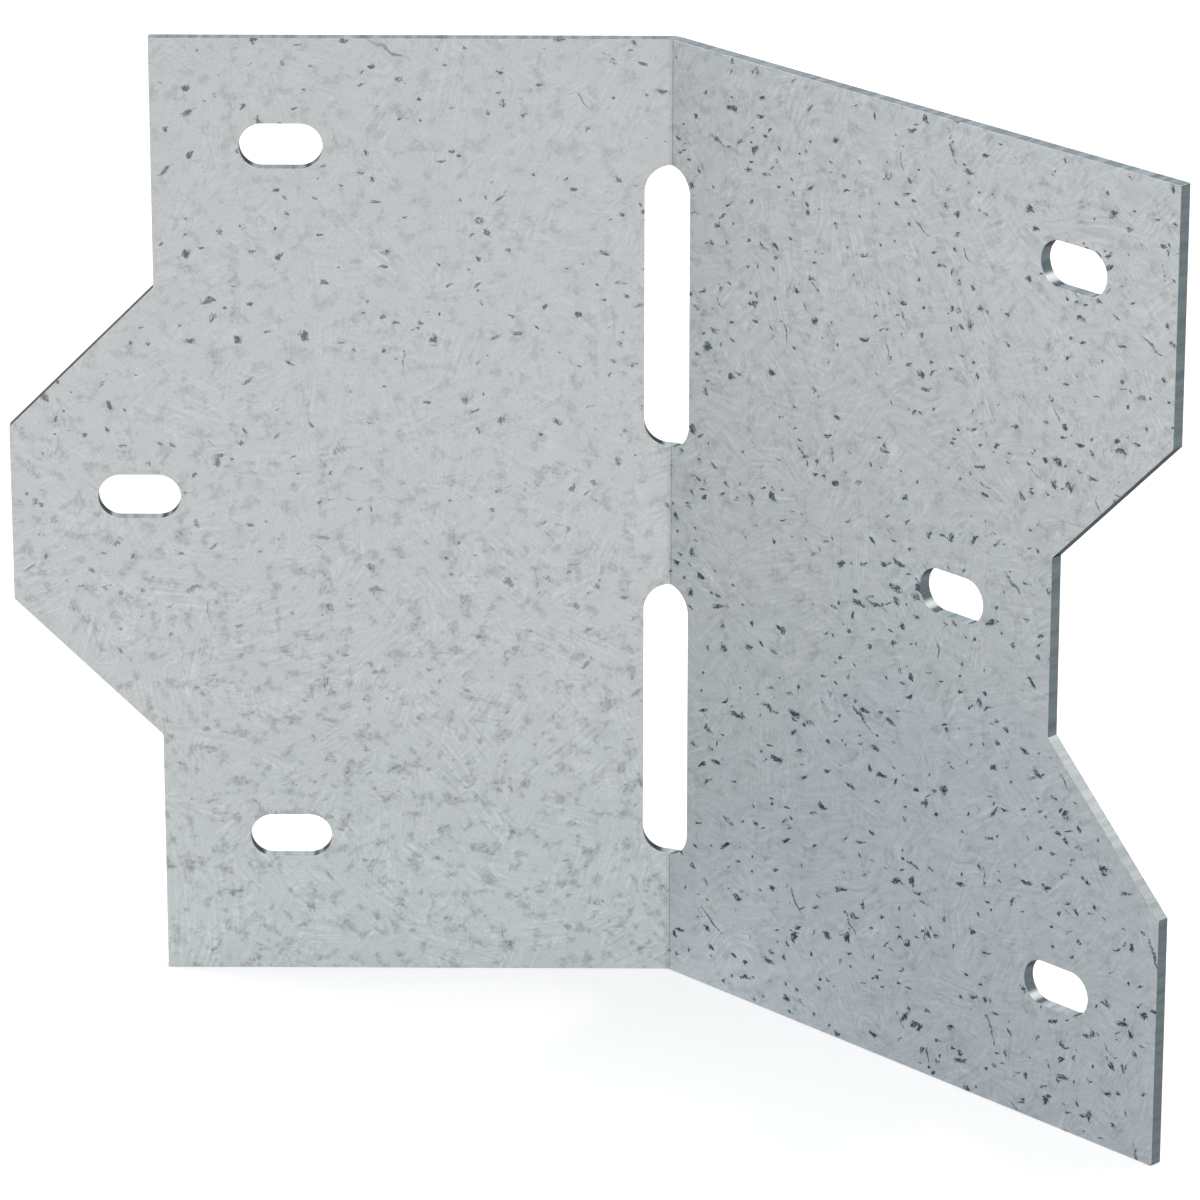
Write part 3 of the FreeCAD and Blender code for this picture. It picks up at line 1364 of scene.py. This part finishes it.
@dataclass
class Studio:
    """Floor, lamps, surroundings and camera.

    Args:
        target: Point that the lamps face.
        floor_radius: Radius of the floor.
        floor_drop: Gap between the floor and the sheet's lower end.
        floor_sides: Sides of the floor's outline.
        floor_colour: Colour of the floor.
        floor_lift: Light that the floor adds where it is seen.
        ambient: Level of the surroundings where they only carry light.
        camera_azimuth: Direction that the camera stands in, in degrees.
        camera_elevation: Height of the camera above the horizon, in degrees.
        camera_roll: Roll of the camera, in radians.
        camera_distance: Distance from the camera to its target.
        camera_target: Point in the middle of the picture.
        camera_lens: Focal length, in millimetres.
        camera_sensor: Sensor width, in millimetres.
        lamps: The lamps.
    """

    target: Vector
    floor_radius: float = 6.0
    floor_drop: float = 0.02 * MM
    floor_sides: int = 96
    floor_colour: Colour = (0.82, 0.82, 0.82, 1.0)
    floor_lift: float = 0.52
    ambient: float = 0.25
    camera_azimuth: float = 0.468
    camera_elevation: float = 20.952
    camera_roll: float = math.radians(0.029)
    camera_distance: float = 623.35 * MM
    camera_target: Vector = Vector((-6.499 * MM, -2.822 * MM, 35.632 * MM))
    camera_lens: float = 215.547
    camera_sensor: float = 36.0
    lamps: tuple[Softbox, ...] = (
        Softbox(
            name="overhead_softbox", azimuth=0.0, elevation=80.0, distance=1.2,
            width=1.0, height=1.0, radiance=1.0,
        ),
        Softbox(
            name="rim_softbox", azimuth=120.0, elevation=44.0, distance=1.0,
            width=0.62, height=0.4, radiance=6.0, colour=(1.0, 0.79, 0.71),
        ),
        Softbox(
            name="left_softbox", azimuth=-106.0, elevation=41.0, distance=1.0,
            width=0.35, height=0.35, radiance=5.3,
        ),
        Softbox(
            name="back_softbox", azimuth=180.0, elevation=19.0, distance=1.2,
            width=0.5, height=0.24, radiance=11.5, colour=(1.0, 0.8, 0.74),
        ),
        Softbox(
            name="low_softbox", azimuth=-158.0, elevation=7.0, distance=1.2,
            width=0.2, height=0.16, radiance=11.0,
        ),
    )

    def seen(self, bench: NodeBench) -> Socket:
        """Tells rays from the camera or a shiny surface from those that only carry light.

        Args:
            bench: Nodes of the floor's material or of the surroundings.

        Returns:
            One where the surface is seen, zero where it is not.
        """
        path = bench.add("ShaderNodeLightPath").outputs
        mirrored = bench.math("MAXIMUM", path["Is Glossy Ray"], path["Is Transmission Ray"])
        return bench.math("MAXIMUM", path["Is Camera Ray"], mirrored)

    def build_floor(self) -> bpy.types.Object:
        """Makes the floor: a disc, whose colour is lifted to white where it is seen.

        A point of its rim is the floor's radius times the cosine and sine of the point's angle.

        Returns:
            The floor.
        """
        angle = np.linspace(0, 2 * math.pi, self.floor_sides, endpoint=False)
        rim = np.column_stack([np.cos(angle), np.sin(angle)]) * self.floor_radius
        points = np.column_stack([rim, np.full(self.floor_sides, -self.floor_drop)])
        mesh = bpy.data.meshes.new("floor")
        mesh.from_pydata(points.tolist(), [], [list(range(self.floor_sides))])
        floor = bpy.data.objects.new("floor", mesh)
        bpy.context.scene.collection.objects.link(floor)
        material = bpy.data.materials.new("pale_floor")
        material.cycles.emission_sampling = "NONE"
        bench = NodeBench(material)
        surface = bench.add("ShaderNodeBsdfDiffuse", {"Color": self.floor_colour})
        strength = bench.math("MULTIPLY", self.seen(bench), self.floor_lift)
        lift = bench.add("ShaderNodeEmission", {"Strength": strength})
        both = bench.add("ShaderNodeAddShader", {0: surface.outputs[0], 1: lift.outputs[0]})
        bench.add("ShaderNodeOutputMaterial", {"Surface": both.outputs[0]})
        mesh.materials.append(material)
        floor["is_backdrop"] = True
        return floor

    def build_world(self) -> None:
        """Makes the surroundings: white where they are seen, and a soft level where they only carry light."""
        world = bpy.data.worlds.new("studio")
        bench = NodeBench(world)
        strength = bench.between(self.seen(bench), self.ambient, 1.0)
        background = bench.add("ShaderNodeBackground", {"Color": WHITE, "Strength": strength})
        bench.add("ShaderNodeOutputWorld", {"Surface": background.outputs[0]})
        bpy.context.scene.world = world

    def build_camera(self) -> bpy.types.Object:
        """Makes the camera at the photograph's viewing angle.

        Returns:
            The camera.
        """
        data = bpy.data.cameras.new("camera")
        data.lens = self.camera_lens
        data.sensor_width = self.camera_sensor
        camera = bpy.data.objects.new("camera", data)
        away = direction(self.camera_azimuth, self.camera_elevation)
        camera.location = self.camera_target + away * self.camera_distance
        camera.rotation_mode = "QUATERNION"
        roll = Quaternion((0.0, 0.0, 1.0), self.camera_roll)
        camera.rotation_quaternion = (-away).to_track_quat("-Z", "Y") @ roll
        bpy.context.scene.collection.objects.link(camera)
        bpy.context.scene.camera = camera
        return camera

    def build(self) -> None:
        """Sets up the whole studio."""
        bpy.context.scene.view_settings.view_transform = "Standard"
        self.build_floor()
        self.build_world()
        self.build_camera()
        for lamp in self.lamps:
            lamp.build(self.target)


def main() -> None:
    """Builds the sheet and the studio, and reports them."""
    logging.basicConfig(level=logging.INFO, format="%(message)s")
    cad_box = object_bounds()
    sheet = FoldedSheet().build()
    sheet.data.materials.append(ZincCoat().material())
    sheet.data.materials.append(ShearedSteel().material())
    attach(sheet, BODY)
    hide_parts(NODE)
    LOG.info("%s: %d faces", sheet.name, len(sheet.data.polygons))
    Studio(target=(cad_box[0] + cad_box[1]) / 2).build()


if __name__ == "__main__":
    main()
